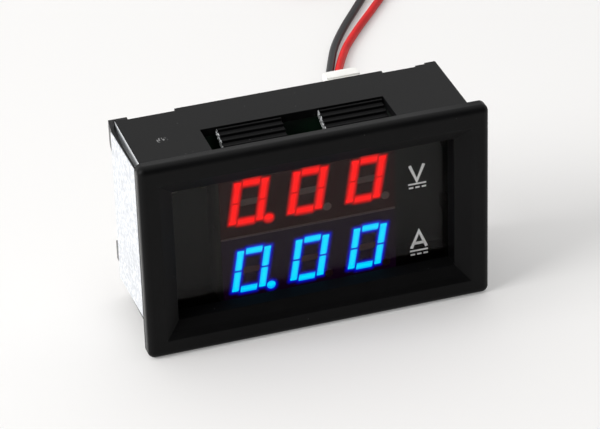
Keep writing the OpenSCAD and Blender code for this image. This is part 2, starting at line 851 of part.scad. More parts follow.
function smooth_route(pts) = [
    for (i = [0:len(pts) - 2], k = [0:route_steps - 1])
        curve_point(pts[max(i - 1, 0)], pts[i], pts[i + 1], pts[min(i + 2, len(pts) - 1)],
            k / route_steps),
    pts[len(pts) - 1]
];

function unit(v) = v / norm(v);

function ring(path, i, sides) =
    let (
        along = unit(path[min(i + 1, len(path) - 1)] - path[max(i - 1, 0)]),
        side = unit(cross(along, [0, 0, 1])),
        up = cross(side, along)
    )
    [for (k = [0:sides - 1])
        path[i] + lead_d / 2 * (cos(360 * (k + 0.5) / sides) * side
            + sin(360 * (k + 0.5) / sides) * up)];

module lead(route) {
    sides = 8;
    path = smooth_route(route);
    last = len(path) - 1;
    points = [for (i = [0:last]) each ring(path, i, sides)];
    walls = [for (i = [0:last - 1], k = [0:sides - 1]) [
        i * sides + k, i * sides + (k + 1) % sides,
        (i + 1) * sides + (k + 1) % sides, (i + 1) * sides + k
    ]];
    ends = [[for (k = [sides - 1:-1:0]) k], [for (k = [0:sides - 1]) last * sides + k]];
    polyhedron(points, concat(walls, ends), convexity = 6);
}

module black_lead() {
    color("#151515") lead(black_route);
}

module red_lead() {
    color("#d00000") lead(red_route);
}

// Outer shape of one lead's flat coil, lying in its own layer
module lead_coil(layer) {
    translate([coil_at[0], coil_at[1], layer * lead_d]) rotate_extrude($fn = 64)
        translate([coil_inner, 0]) square([coil_outer - coil_inner, lead_d]);
}

module black_lead_coil() {
    color("#151515") lead_coil(0);
}

module red_lead_coil() {
    color("#d00000") lead_coil(1);
}

housing();
lens();
side_label();
red_display_body();
red_segments_lit();
red_segments_unlit();
blue_display_body();
blue_segments_lit();
blue_segments_unlit();
display_pins();
circuit_board();
supply_header();
supply_header_pins();
supply_plug();
supply_contacts();
measuring_header();
measuring_header_pins();
shunt();
controller_chip();
amplifier_chip();
regulator();
protection_diode();
filter_capacitor();
chip_capacitors();
chip_resistors();
voltage_trimmer();
voltage_trimmer_rotor();
current_trimmer();
current_trimmer_rotor();
black_lead();
red_lead();
black_lead_coil();
red_lead_coil();
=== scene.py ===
import math

import bmesh
import bpy
from mathutils import Matrix, Vector


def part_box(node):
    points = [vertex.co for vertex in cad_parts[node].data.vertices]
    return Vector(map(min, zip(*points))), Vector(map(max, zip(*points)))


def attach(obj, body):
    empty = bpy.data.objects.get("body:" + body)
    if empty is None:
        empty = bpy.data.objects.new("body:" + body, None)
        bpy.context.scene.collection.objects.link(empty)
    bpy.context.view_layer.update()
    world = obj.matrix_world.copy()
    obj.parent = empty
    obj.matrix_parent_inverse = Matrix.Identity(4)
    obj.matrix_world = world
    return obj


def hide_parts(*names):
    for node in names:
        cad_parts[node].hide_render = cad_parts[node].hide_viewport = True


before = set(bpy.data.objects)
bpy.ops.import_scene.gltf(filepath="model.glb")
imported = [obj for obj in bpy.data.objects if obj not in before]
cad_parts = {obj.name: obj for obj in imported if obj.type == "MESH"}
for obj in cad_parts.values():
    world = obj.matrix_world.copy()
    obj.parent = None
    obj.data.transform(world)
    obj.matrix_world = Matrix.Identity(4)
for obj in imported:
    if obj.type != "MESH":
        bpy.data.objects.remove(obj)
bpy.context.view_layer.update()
mm = 0.001


# a shader socket that can be used in sums
class Wire:
    def __init__(self, finish, socket):
        self.finish = finish
        self.socket = socket

    def sum(self, operation, *values):
        node = self.finish.node("ShaderNodeMath", {"operation": operation}, dict(enumerate(values)))
        return Wire(self.finish, node.outputs[0])

    def __add__(self, other):
        return self.sum("ADD", self, other)

    def __sub__(self, other):
        return self.sum("SUBTRACT", self, other)

    def __rsub__(self, other):
        return self.sum("SUBTRACT", other, self)

    def __mul__(self, other):
        return self.sum("MULTIPLY", self, other)

    def __truediv__(self, other):
        return self.sum("DIVIDE", self, other)

    def __pow__(self, other):
        return self.sum("POWER", self, other)

    def __abs__(self):
        return self.sum("ABSOLUTE", self)

    def __gt__(self, other):
        return self.sum("GREATER_THAN", self, other)

    def __lt__(self, other):
        return self.sum("LESS_THAN", self, other)

    __radd__ = __add__
    __rmul__ = __mul__

    def least(self, other):
        return self.sum("MINIMUM", self, other)

    def most(self, other):
        return self.sum("MAXIMUM", self, other)

    def ramp(self, low, high):  # 0 below low, 1 above high, smooth between
        node = self.finish.node("ShaderNodeMapRange", {"interpolation_type": "SMOOTHSTEP"},
                                {"Value": self, "From Min": low, "From Max": high})
        return Wire(self.finish, node.outputs[0])


class Finish:
    def __init__(self, name, store=None):
        self.material = (bpy.data.materials if store is None else store).new(name)
        self.material.use_nodes = True
        self.tree = self.material.node_tree
        self.tree.nodes.clear()
        self.place = None

    def node(self, kind, settings=None, sockets=None):
        node = self.tree.nodes.new(kind)
        for name, value in (settings or {}).items():
            setattr(node, name, value)
        for name, value in (sockets or {}).items():
            if isinstance(value, Wire):
                self.tree.links.new(value.socket, node.inputs[name])
            elif isinstance(value, tuple) and len(value) == 3 and node.inputs[name].type == "RGBA":
                node.inputs[name].default_value = (*value, 1)
            else:
                node.inputs[name].default_value = value
        return node

    def wire(self, kind, settings=None, sockets=None, out=0):
        return Wire(self, self.node(kind, settings, sockets).outputs[out])

    def at(self):  # x, y, z of the point, in metres
        if self.place is None:
            self.place = self.wire("ShaderNodeTexCoord", out="Object")
        return self.place

    def split(self, vector):
        parts = self.node("ShaderNodeSeparateXYZ", {}, {0: vector})
        return [Wire(self, parts.outputs[k]) for k in range(3)]

    def axes(self):  # the same in millimetres, as three wires
        return [v / mm for v in self.split(self.at())]

    def facing(self):  # which way the surface points
        return self.split(self.wire("ShaderNodeTexCoord", out="Normal"))

    def noise(self, size, detail=2.0, rough=0.5, stretch=(1, 1, 1), seed=0.0):
        spot = self.wire("ShaderNodeMapping", {}, {"Vector": self.at(), "Location": (seed, seed, seed),
                                                   "Scale": tuple(s / size for s in stretch)})
        return self.wire("ShaderNodeTexNoise", {}, {"Vector": spot, "Scale": 1.0, "Detail": detail,
                                                    "Roughness": rough})

    def cells(self, size, seed=0.0):
        spot = self.wire("ShaderNodeMapping", {}, {"Vector": self.at(), "Location": (seed, seed, seed),
                                                   "Scale": (1 / size,) * 3})
        return self.wire("ShaderNodeTexVoronoi", {}, {"Vector": spot, "Scale": 1.0}, "Distance")

    def blend(self, amount, first, second):
        mix = self.node("ShaderNodeMix", {"data_type": "RGBA"}, {"Factor": amount, 6: first, 7: second})
        return Wire(self, mix.outputs[2])

    def bump(self, height, depth, strength=1.0):
        return self.wire("ShaderNodeBump", {}, {"Height": height, "Distance": depth, "Strength": strength})

    def finish(self, **sockets):
        values = {name.replace("_", " "): value for name, value in sockets.items()}
        surface = self.wire("ShaderNodeBsdfPrincipled", {}, values)
        self.node("ShaderNodeOutputMaterial", {}, {"Surface": surface})
        return self.material


# camera
view = {"place": (-0.1101, -0.36008, 0.23781), "turn": 17.12, "down": 31.03, "roll": -1.90, "lens": 195.5,
        "sensor": 36}


def makeCamera():
    turn, down, roll = (math.radians(view[k]) for k in ("turn", "down", "roll"))
    ahead = Vector((math.sin(turn) * math.cos(down), math.cos(turn) * math.cos(down), -math.sin(down)))
    right = Vector((math.cos(turn), -math.sin(turn), 0))
    up = right.cross(ahead)
    side = math.cos(roll) * right + math.sin(roll) * up
    top = math.cos(roll) * up - math.sin(roll) * right
    data = bpy.data.cameras.new("camera")
    data.sensor_width = view["sensor"]
    data.lens = view["lens"]
    data.clip_start = 0.01
    camera = bpy.data.objects.new("camera", data)
    bpy.context.scene.collection.objects.link(camera)
    spin = Matrix((side, top, -ahead)).transposed().to_4x4()
    camera.matrix_world = Matrix.Translation(view["place"]) @ spin
    bpy.context.scene.camera = camera


makeCamera()
print("camera set")


# supply leads: routes in millimetres, then the wound length behind
cords = {
    "diameter": 1.25, "length": 200, "steps": 8, "roundness": 4,
    "coilAt": (33, 89), "coilR": 8.2, "turnGap": 1.29, "perTurn": 20,
    "height": {"black": 0.625, "red": 1.875},
    "endPoints": 7, "endStep": 0.65, "endBack": 0.4, "endBend": 0.0175, "endR": 0.42,
    "looks": {"black": ((0.004, 0.005, 0.007), 0.3), "red": ((0.70, 0.002, 0.003), 0.15)},
    "black": [(9.85, 9.8, 23.7), (9.85, 11.8, 23.7), (9.95, 13.5, 23.5), (10.3, 16.2, 21.8),
              (11.2, 19, 18.9), (12.1, 22, 15.1), (13.1, 25, 11.1), (14, 28, 7.4), (15, 31.2, 4.3),
              (16.1, 35, 2),
              (17.5, 39.5, 0.9), (19.2, 44.5, 0.625), (21.2, 50, 0.625), (23.5, 55.6, 0.625),
              (26.4, 62.2, 0.625), (29.9, 68, 0.625), (33.9, 73.7, 0.625), (37, 78.3, 0.625),
              (39.4, 83, 0.625), (40.9, 86.8, 0.625)],
    "red": [(11.35, 9.8, 23.7), (11.35, 11.8, 23.7), (11.45, 13.5, 23.5), (11.8, 16.2, 21.8),
            (12.7, 19, 18.9), (13.6, 22, 15.1), (14.6, 25, 11.1), (15.5, 28, 7.4), (16.5, 31.2, 4.3),
            (17.6, 35, 2),
            (19, 39.5, 0.9), (20.7, 44.5, 0.625), (22.6, 49.8, 0.625), (24.85, 55.4, 0.625),
            (28.1, 61.6, 0.625), (32.1, 67.2, 0.625), (36.2, 72.4, 0.625), (39.6, 77, 0.7),
            (41.5, 81.6, 1.2), (41.9, 86, 1.8), (41.3, 89.8, 1.9)],
}


def along(points, steps):  # smooth line through the points
    line = []
    for k in range(len(points) - 1):
        a, b, c, d = (Vector(points[min(max(k + j, 0), len(points) - 1)]) for j in (-1, 0, 1, 2))
        for s in range(steps):
            t = s / steps
            line.append(0.5 * (2 * b + (c - a) * t + (2 * a - 5 * b + 4 * c - d) * t * t
                               + (3 * b - a - 3 * c + d) * t ** 3))
    return line + [Vector(points[-1])]


def lineLength(line):
    return sum((b - a).length for a, b in zip(line, line[1:]))


def leadLine(colour):  # the route, then turns inwards round the coil's middle until the length is used up
    points = list(cords[colour])
    cx, cy = cords["coilAt"]
    reach = math.hypot(points[-1][0] - cx, points[-1][1] - cy)
    start = math.atan2(points[-1][1] - cy, points[-1][0] - cx)
    wound = []
    k = 1
    while lineLength(along(points + wound, cords["steps"])) < cords["length"]:
        turn = k / cords["perTurn"]
        radius = min(reach, cords["coilR"]) - cords["turnGap"] * turn
        angle = start + 2 * math.pi * turn
        wound.append((cx + radius * math.cos(angle), cy + radius * math.sin(angle), cords["height"][colour]))
        k += 1
    line = along(points + wound, cords["steps"])
    while lineLength(line) > cords["length"]:
        line.pop()
    return line


def tube(name, line, radius):
    data = bpy.data.curves.new(name, "CURVE")
    data.dimensions = "3D"
    data.bevel_depth = radius * mm
    data.bevel_resolution = cords["roundness"]
    data.use_fill_caps = True
    spline = data.splines.new("POLY")
    spline.points.add(len(line) - 1)
    for point, spot in zip(spline.points, line):
        point.co = (*(spot * mm), 1)
    piece = bpy.data.objects.new(name, data)
    bpy.context.scene.collection.objects.link(piece)
    return piece


def insulation(name, colour, sheen):
    paint = Finish(name)
    cloud = paint.noise(0.004, 3)
    fine = paint.noise(0.0004, 2)
    dark = tuple(c * 0.82 for c in colour)
    return paint.finish(Base_Color=paint.blend(cloud.ramp(0.3, 0.7), dark, colour),
                        Roughness=0.3 + fine * 0.12, Specular_IOR_Level=sheen,
                        Normal=paint.bump(fine, 0.00002, 0.4))


def strandEnd(name, line):  # stripped and tinned end of a lead
    ahead = (line[-1] - line[-3]).normalized()
    cx, cy = cords["coilAt"]
    points = []
    for k in range(cords["endPoints"]):
        spot = line[-1] + ahead * (k * cords["endStep"] - cords["endBack"])
        inward = Vector((cx - spot.x, cy - spot.y, 0)).normalized()
        points.append(spot + inward * cords["endBend"] * k * k)
    return tube(name, points, cords["endR"])


def makeCords():
    tin = Finish("tinnedStrands")
    grain = tin.noise(0.0005, 2)
    tinned = tin.finish(Base_Color=tin.blend(grain, (0.5, 0.48, 0.45), (0.78, 0.77, 0.74)), Metallic=1.0,
                        Roughness=0.28 + grain * 0.2, Normal=tin.bump(grain, 0.00004, 0.6))
    for colour, look in cords["looks"].items():
        line = leadLine(colour)
        lead = tube(colour + "Lead", line, cords["diameter"] / 2)
        lead.data.materials.append(insulation(colour + "Insulation", *look))
        tip = strandEnd(colour + "LeadEnd", line)
        tip.data.materials.append(tinned)
        for piece in (lead, tip):
            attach(piece, "meter")
        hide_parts(colour + "_lead", colour + "_lead_coil")
        leads.append((lead, [v * mm for v in cords[colour][1]], tip))


leads = []  # each lead with the point where it leaves the plug, and its bare end
makeCords()
print("leads laid")


# floor and light
studio = {
    "size": 3.0, "skyFront": 0.07, "skyBack": 1.0, "skyFrom": -0.55, "skyTo": 0.25,
    "floorTone": (0.84, 0.828, 0.815), "floorGlow": (0.955, 0.955, 0.955), "floorShown": 0.22,
    "lamps": {
        "leftLamp": {"at": (-0.8, -0.1, 0.5), "size": (0.6, 0.6), "power": 8.0},
        "topLamp": {"at": (-0.1, 0.1, 1.1), "size": (1.2, 1.2), "power": 2.0},
    },
}


def makeStudio():
    scene = bpy.context.scene
    scene.view_settings.view_transform = "Standard"
    sky = Finish("studio", bpy.data.worlds)
    ways = sky.split(sky.wire("ShaderNodeTexCoord", out="Generated"))
    back = ways[1].ramp(studio["skyFrom"], studio["skyTo"])
    level = studio["skyFront"] + back * (studio["skyBack"] - studio["skyFront"])
    light = sky.wire("ShaderNodeBackground", {}, {"Color": (1.0, 1.0, 1.0), "Strength": level})
    sky.node("ShaderNodeOutputWorld", {}, {"Surface": light})
    scene.world = sky.material
    bm = bmesh.new()
    bmesh.ops.create_grid(bm, x_segments=1, y_segments=1, size=studio["size"] / 2)
    mesh = bpy.data.meshes.new("floor")
    bm.to_mesh(mesh)
    bm.free()
    floor = bpy.data.objects.new("floor", mesh)
    scene.collection.objects.link(floor)
    paint = Finish("paleFloor")
    rays = paint.node("ShaderNodeLightPath")
    seen = (Wire(paint, rays.outputs["Is Camera Ray"]) + Wire(paint, rays.outputs["Is Glossy Ray"])
            + Wire(paint, rays.outputs["Is Transmission Ray"])).least(1.0)
    matt = paint.wire("ShaderNodeBsdfDiffuse", {}, {"Color": studio["floorTone"]})
    glow = paint.wire("ShaderNodeEmission", {}, {"Color": studio["floorGlow"], "Strength": 1.0})
    both = paint.wire("ShaderNodeMixShader", {}, {0: seen * studio["floorShown"], 1: matt, 2: glow})
    paint.node("ShaderNodeOutputMaterial", {}, {"Surface": both})
    mesh.materials.append(paint.material)
    for name, look in studio["lamps"].items():
        data = bpy.data.lights.new(name, "AREA")
        data.shape = "RECTANGLE"
        data.size, data.size_y = look["size"]
        data.energy = look["power"]
        lamp = bpy.data.objects.new(name, data)
        lamp.location = look["at"]
        lamp.rotation_euler = (-Vector(look["at"])).to_track_quat("-Z", "Y").to_euler()
        scene.collection.objects.link(lamp)


makeStudio()
print("floor and lamps set")


# making and dressing pieces
def addPiece(name, bm, material, body="meter", smooth=0.6):
    mesh = bpy.data.meshes.new(name)
    bm.to_mesh(mesh)
    bm.free()
    for face in mesh.polygons:
        face.use_smooth = True
    mesh.set_sharp_from_angle(angle=smooth)
    mesh.materials.append(material)
    piece = bpy.data.objects.new(name, mesh)
    bpy.context.scene.collection.objects.link(piece)
    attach(piece, body)
    return piece


meshing = {"weld": 2e-6, "flat": 0.01, "alongAxis": 0.99}


def nodeMesh(node, joinFlat=True):  # a node's mesh with its triangles joined up
    bm = bmesh.new()
    bm.from_mesh(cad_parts[node].data)
    bmesh.ops.remove_doubles(bm, verts=bm.verts, dist=meshing["weld"])
    if joinFlat:
        bmesh.ops.dissolve_limit(bm, angle_limit=meshing["flat"], verts=bm.verts, edges=bm.edges)
    return bm


def runsAlong(edge, axis):
    way = (edge.verts[0].co - edge.verts[1].co).normalized()
    return abs(way["xyz".index(axis)]) > meshing["alongAxis"]


# a node's shape with its corners rounded; behind the flange only edges with |x| below keepIn are rounded
def softCopy(name, node, material, slot, edge, keepIn=24.1, body="meter", axis=None):
    bm = nodeMesh(node)
    edges = [e for e in bm.edges if len(e.link_faces) == 2 and e.calc_face_angle() > 0.5
             and all(abs(v.co.x) < keepIn * mm or v.co.y < -9.05 * mm for v in e.verts)
             and (axis is None or runsAlong(e, axis))]
    bmesh.ops.bevel(bm, geom=edges, offset=edge * mm, offset_type="OFFSET", segments=2, profile=0.5,
                    affect="EDGES", material=-1, clamp_overlap=False)
    bmesh.ops.triangulate(bm, faces=[f for f in bm.faces if len(f.verts) > 4])
    piece = addPiece(name, bm, material, body)
    evenOut = piece.modifiers.new("evenNormals", "WEIGHTED_NORMAL")
    evenOut.keep_sharp = True
    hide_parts(node)


def dress(node, material):
    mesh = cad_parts[node].data
    mesh.materials.clear()
    mesh.materials.append(material)


# housing: black moulding with a fine spark texture, dust, a scuff, painted glints on the tongues' left edges
# and a painted sheen in the slot behind the left clip
housing = {
    "edge": 0.07, "keepIn": 22.6, "black": (0.0020, 0.0020, 0.0022), "shine": 0.125, "rough": 0.40,
    "glintX": (-10.5, 3.6), "glintWide": 0.07, "glintY": (-8.0, 0.2), "glintZ": (23.9, 27.0),
    "glintTone": (0.85, 0.87, 0.88), "scuffAt": (-18.1, -1.45, 27.35), "scuffSize": 0.75,
    "dustTone": (0.5, 0.5, 0.5), "sillY": -7.2, "sillZ": 8.0, "sillRough": 0.35,
    "slotSheenX": (-22.8, -22.6), "slotSheenY": (-9.1, 5.8), "slotSheenZ": 18.0, "lensHazeAndSlotSheen": (0.55, 0.56, 0.57),
    "gloss": 0.45, "glossRough": 0.22,
}


def blackPlastic():
    paint = Finish("blackPlastic")
    x, y, z = paint.axes()
    normalX, sideways, normalZ = paint.facing()
    grain = paint.noise(0.00022, 2, 0.6)
    cloud = paint.noise(0.006, 3, 0.6, seed=3)
    tone = paint.blend(cloud.ramp(0.3, 0.7) * 0.5 + grain * 0.5, tuple(c * 0.5 for c in housing["black"]),
                       tuple(c * 1.6 for c in housing["black"]))

    sx, sy, sz = housing["scuffAt"]
    away = ((x - sx) ** 2 + (y - sy) ** 2) ** 0.5
    streak = paint.noise(0.00028, 2, 0.7, stretch=(1.0, 0.5, 1), seed=5)
    scuff = (away < housing["scuffSize"]) * (z > sz - 0.2) * streak.ramp(0.54, 0.62)
    specks = paint.cells(0.0016, seed=2)
    dust = (specks < 0.05) * (paint.noise(0.004, 1, seed=12) > 0.52) * 0.10
    tone = paint.blend((dust + scuff * 0.4).least(1.0), tone, housing["dustTone"])

    # painted glints: pale specks along the tongues' left edges, a painted highlight standing in for the left
    # light on the rib ends; the chips noise breaks them into specks
    edge = abs(x - housing["glintX"][0]).least(abs(x - housing["glintX"][1]))
    chips = paint.noise(0.0003, 3, 0.8, seed=9)
    near, far = housing["glintY"]
    low, high = housing["glintZ"]
    glint = ((edge < housing["glintWide"]) * (z > low) * (z < high) * (y > near) * (y < far)
            * chips.ramp(0.50, 0.56))
    tone = paint.blend(glint, tone, housing["glintTone"])

    # the slot behind the left clip: its walls are painted pale, a painted sheen standing in for the
    # reflection of the bright surroundings between them
    leaf, wall = housing["slotSheenX"]
    near, far = housing["slotSheenY"]
    slotWalls = (normalX < -0.5) * (x > leaf) + (normalX > 0.5) * (x < leaf)
    lensHazeAndSlotSheen = slotWalls * (x < wall) * (y > near) * (y < far) * (z > housing["slotSheenZ"])
    tone = paint.blend(lensHazeAndSlotSheen, tone, housing["lensHazeAndSlotSheen"])

    # the floor of the front recess is duller than the rest
    sill = (normalZ > 0.5) * (y < housing["sillY"]) * (z < housing["sillZ"])
    rough = housing["rough"] + grain * 0.10 + cloud * 0.06 + sill * housing["sillRough"]
    return paint.finish(Base_Color=tone, Roughness=rough, Specular_IOR_Level=housing["shine"],
                        Coat_Roughness=housing["glossRough"], Coat_IOR=1.5,
                        Coat_Weight=(normalX < -0.9) * housing["gloss"],
                        Normal=paint.bump(grain, 0.00001, 0.35))


softCopy("meterHousing", "housing", blackPlastic(), "housing_plastic", housing["edge"], housing["keepIn"])
print("housing dressed")


# lens: smoky window with white unit signs printed on it
lens = {"smoke": (0.0052, 0.0042, 0.0034), "cover": 0.45, "shine": 0.3, "front": -7.3, "ink": 0.03}
signs = {
    "vee": {"lines": [[(13.98, 19.95), (14.985, 17.5), (15.99, 19.95)]], "wide": 0.42},
    "veeBar": {"lines": [[(13.76, 17.06), (16.30, 17.06)]], "wide": 0.24},
    "veeDashes": {"lines": [[(13.85, 16.5), (14.47, 16.5)], [(14.78, 16.5), (15.38, 16.5)],
                            [(15.68, 16.5), (16.29, 16.5)]], "wide": 0.24},
    "ay": {"lines": [[(14.12, 7.05), (15.20, 9.62), (16.28, 7.05)],
                     [(14.5, 7.78), (15.9, 7.78)]], "wide": 0.42},
    "ayBar": {"lines": [[(13.90, 6.62), (16.46, 6.62)]], "wide": 0.24},
    "ayDashes": {"lines": [[(13.99, 6.04), (14.62, 6.04)], [(14.92, 6.04), (15.53, 6.04)],
                           [(15.83, 6.04), (16.45, 6.04)]], "wide": 0.24},
}


def smokeLens():
    paint = Finish("smokeLens")
    lensHazeAndSlotSheen = paint.noise(0.012, 3, 0.5, seed=4)
    specks = paint.cells(0.0022, seed=6) < 0.03
    tone = paint.blend(lensHazeAndSlotSheen.ramp(0.3, 0.7), tuple(c * 0.7 for c in lens["smoke"]),
                       tuple(c * 1.4 for c in lens["smoke"]))
    return paint.finish(Base_Color=paint.blend(specks * 0.05, tone, (0.6, 0.6, 0.6)),
                        Roughness=0.08 + lensHazeAndSlotSheen * 0.05, Specular_IOR_Level=lens["shine"],
                        Alpha=lens["cover"] + specks * 0.1)


def inkStroke(bm, line, wide):  # one printed stroke: a mitred ribbon, raised by the ink
    points = [Vector((p[0], 0, p[1])) for p in line]
    sides = []
    for k, point in enumerate(points):
        before = (point - points[k - 1]).normalized() if k else None
        after = (points[k + 1] - point).normalized() if k < len(points) - 1 else None
        way = ((before or after) + (after or before)).normalized()
        across = Vector((way.z, 0, -way.x))
        stretch = 1 / max(0.5, abs(across.dot(Vector(((after or before).z, 0, -(after or before).x)))))
        sides.append([bm.verts.new((point + across * (s * wide / 2 * stretch)
                                    + Vector((0, lens["front"], 0))) * mm) for s in (1, -1)])
    faces = [bm.faces.new((a[0], b[0], b[1], a[1])) for a, b in zip(sides, sides[1:])]
    raised = bmesh.ops.extrude_face_region(bm, geom=faces)
    bmesh.ops.translate(bm, verts=[v for v in raised["geom"] if isinstance(v, bmesh.types.BMVert)],
                        vec=(0, -lens["ink"] * mm, 0))


def makeSigns():
    bm = bmesh.new()
    for sign in signs.values():
        for line in sign["lines"]:
            inkStroke(bm, line, sign["wide"])
    bmesh.ops.recalc_face_normals(bm, faces=bm.faces)
    paint = Finish("whiteInk")
    patchy = paint.noise(0.0005, 3, 0.6)
    ink = paint.finish(Base_Color=paint.blend(patchy, (0.66, 0.67, 0.66), (0.86, 0.87, 0.86)),
                       Roughness=0.55 + patchy * 0.1, Specular_IOR_Level=0.3)
    addPiece("unitSigns", bm, ink, smooth=0.3)


dress("lens", smokeLens())
makeSigns()
print("lens and signs made")


# displays: epoxy-filled blocks, lit bars and a glow painted as emission on the face around them
digits = {"x": 0.1, "pitch": 8.16, "slant": 9.5, "wide": 4.7, "high": 6.7, "stroke": 0.95, "gap": 0.26,
          "inset": 0.28, "point": (2.65, -3.05), "pointSize": 1.2, "face": -6.1, "through": 0.30,
          "seam": 13.25, "seamWide": 0.15, "round": 0.13}
shows = {
    "red": {"z": 18.475, "core": (1.3, 0.002, 0.0), "rim": (0.5, 0.0, 0.0), "glow": (0.55, 0.0, 0.001),
            "reach": 0.42, "fall": 1.4, "spill": (0.007, 0.0, 0.0), "unlit": (0.72, 0.50, 0.45)},
    "blue": {"z": 8.025, "core": (0.0, 0.80, 1.05), "rim": (0.0, 0.42, 1.0), "glow": (0.002, 0.004, 0.62),
             "reach": 0.62, "fall": 1.7, "spill": (0.003, 0.0, 0.004), "unlit": (0.42, 0.18, 0.18)},
}


def fromBox(across, upward):  # distance outside a box, from its two signed side distances
    return (across.most(0.0) ** 2 + upward.most(0.0) ** 2) ** 0.5


# how far a point is from the nearest lit bar, and from the nearest bar's middle line, with its y and z
def barDistance(paint, z0):
    x, y, z = paint.axes()
    up = z - z0
    flat = x - digits["x"]
    lean = flat - up * math.tan(math.radians(digits["slant"]))
    column = lean.sum("ROUND", lean / digits["pitch"])
    local = lean - column * digits["pitch"]
    half = digits["stroke"] / 2
    sideX = digits["wide"] / 2 - half
    sideTop = digits["high"] / 2 - digits["inset"]
    crossZ = digits["high"] / 2 - half
    crossX = digits["wide"] / 2 - digits["stroke"] - digits["gap"]
    upright = fromBox(abs(abs(local) - sideX) - half, (abs(up) - sideTop).most(digits["gap"] / 2 - abs(up)))
    level = fromBox(abs(local) - crossX, abs(abs(up) - crossZ) - half)
    px, pz = digits["point"]
    dotX = flat + digits["pitch"] - px
    dot = ((dotX ** 2 + (up - pz) ** 2) ** 0.5 - digits["pointSize"] / 2).most(0.0)
    inside = abs(abs(local) - sideX).least(abs(abs(up) - crossZ))
    return upright.least(level).least(dot), inside.least((dotX ** 2 + (up - pz) ** 2) ** 0.5), y, z


def displayCase(colour):
    show = shows[colour]
    paint = Finish(colour + "DisplayCase")
    away, inside, y, z = barDistance(paint, show["z"])
    spread = (1 - away / show["reach"]).most(0.0) ** show["fall"]
    seam = abs(z - digits["seam"]) < digits["seamWide"]
    onFace = y < digits["face"] + 0.05
    mottle = paint.noise(0.0012, 3)
    # the module's sides: painted light and shade, light grey towards the face where light comes in through
    # the lens and dark deeper in
    flank = abs(paint.facing()[0]) > 0.5
    paintedLightToFace = (y / digits["face"]).ramp(0.1, 1.0)
    side = paint.blend(flank * (paintedLightToFace * 0.8 + mottle * 0.2), (0.035, 0.034, 0.033), (0.36, 0.32, 0.29))
    face = paint.blend(mottle, (0.020, 0.017, 0.016), (0.032, 0.027, 0.025))
    face = paint.blend(seam, face, (0.75, 0.62, 0.56))
    # spill and glow: emission painted on the face, a faint painted glow over the whole face and a brighter
    # one around the lit bars standing in for their bloom
    spill = paint.blend(onFace, (0.0, 0.0, 0.0), show["spill"])
    glow = paint.blend(spread * onFace, spill, show["glow"])
    return paint.finish(Base_Color=paint.blend(onFace, side, face), Roughness=0.5 + mottle * 0.15,
                        Specular_IOR_Level=0.25, Emission_Color=glow, Emission_Strength=1 / digits["through"],
                        Normal=paint.bump(mottle, 0.00001, 0.3))


def litEpoxy(colour):
    show = shows[colour]
    paint = Finish(colour + "Light")
    away, inside, y, z = barDistance(paint, show["z"])
    middle = 1 - inside.ramp(0.0, 0.5)
    cloud = paint.noise(0.0009, 2)
    return paint.finish(Base_Color=(0.04, 0.04, 0.04), Roughness=0.4 + cloud * 0.1,
                        Emission_Color=paint.blend(middle * 0.8 + cloud * 0.2, show["rim"], show["core"]),
                        Emission_Strength=1 / digits["through"])


def unlitEpoxy(colour):
    paint = Finish(colour + "UnlitEpoxy")
    cloud = paint.noise(0.0012, 3)
    light = shows[colour]["unlit"]
    return paint.finish(Base_Color=paint.blend(cloud, tuple(c * 0.8 for c in light), light),
                        Roughness=0.42 + cloud * 0.12, Specular_IOR_Level=0.4)


for colour in shows:
    dress(colour + "_display_body", displayCase(colour))
    for state, finish in (("lit", litEpoxy(colour)), ("unlit", unlitEpoxy(colour))):
        softCopy(colour + state.title() + "Bars", f"{colour}_segments_{state}", finish,
                 "unlit_epoxy" if state == "unlit" else colour + "_light", digits["round"], axis="y")
print("displays lit")


# label: blank paper with a soft grain and random grey mottling
def labelPaper():
    paint = Finish("labelPaper")
    fibre = paint.noise(0.0007, 4, 0.7)
    greyMottling = paint.noise(0.003, 3, 0.6, seed=8)
    tone = paint.blend(fibre.ramp(0.35, 0.7), (0.50, 0.52, 0.55), (0.80, 0.81, 0.83))
    return paint.finish(Base_Color=paint.blend(greyMottling.ramp(0.5, 0.75) * 0.5, tone, (0.42, 0.43, 0.45)),
                        Roughness=0.6 + fibre * 0.15, Normal=paint.bump(fibre, 0.00002, 0.4))


dress("side_label", labelPaper())


def tinnedMetal(name="tinnedMetal", colour=(0.72, 0.71, 0.69), rough=0.22):
    paint = Finish(name)
    grain = paint.noise(0.0006, 3)
    tarnish = paint.noise(0.003, 2, seed=2).ramp(0.4, 0.8)
    shade = tuple(c * 0.62 for c in colour)
    return paint.finish(Base_Color=paint.blend(tarnish, colour, shade), Metallic=1.0,
                        Roughness=rough + grain * 0.22 + tarnish * 0.1,
                        Normal=paint.bump(grain, 0.00001, 0.4))


def whiteNylon():
    paint = Finish("whiteNylon")
    flow = paint.noise(0.005, 3)
    grain = paint.noise(0.0003, 2)
    return paint.finish(Base_Color=paint.blend(flow.ramp(0.3, 0.7), (0.80, 0.79, 0.75), (0.88, 0.875, 0.85)),
                        Roughness=0.38 + grain * 0.12, Specular_IOR_Level=0.4,
                        Normal=paint.bump(grain, 0.00001, 0.3))


def boardLaminate():  # green mask on both faces, bare glass laminate on the rim
    paint = Finish("boardLaminate")
    low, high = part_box("circuit_board")
    middle, half = (low.y + high.y) / 2 / mm, (high.y - low.y) / 2 / mm
    y = paint.axes()[1]
    weave = paint.wire("ShaderNodeTexChecker", {}, {"Vector": paint.at(), "Scale": 1 / 0.0005}, out="Fac")
    cloud = paint.noise(0.004, 3)
    green = paint.blend(cloud, (0.003, 0.022, 0.010), (0.005, 0.034, 0.015))
    core = paint.blend(cloud, (0.42, 0.40, 0.22), (0.52, 0.5, 0.3))
    tone = paint.blend(abs(y - middle) < half - 0.04, green, core)
    return paint.finish(Base_Color=tone, Roughness=0.3 + weave * 0.04 + cloud * 0.1, Specular_IOR_Level=0.5,
                        Normal=paint.bump(weave * 0.3 + cloud, 0.00001, 0.3))


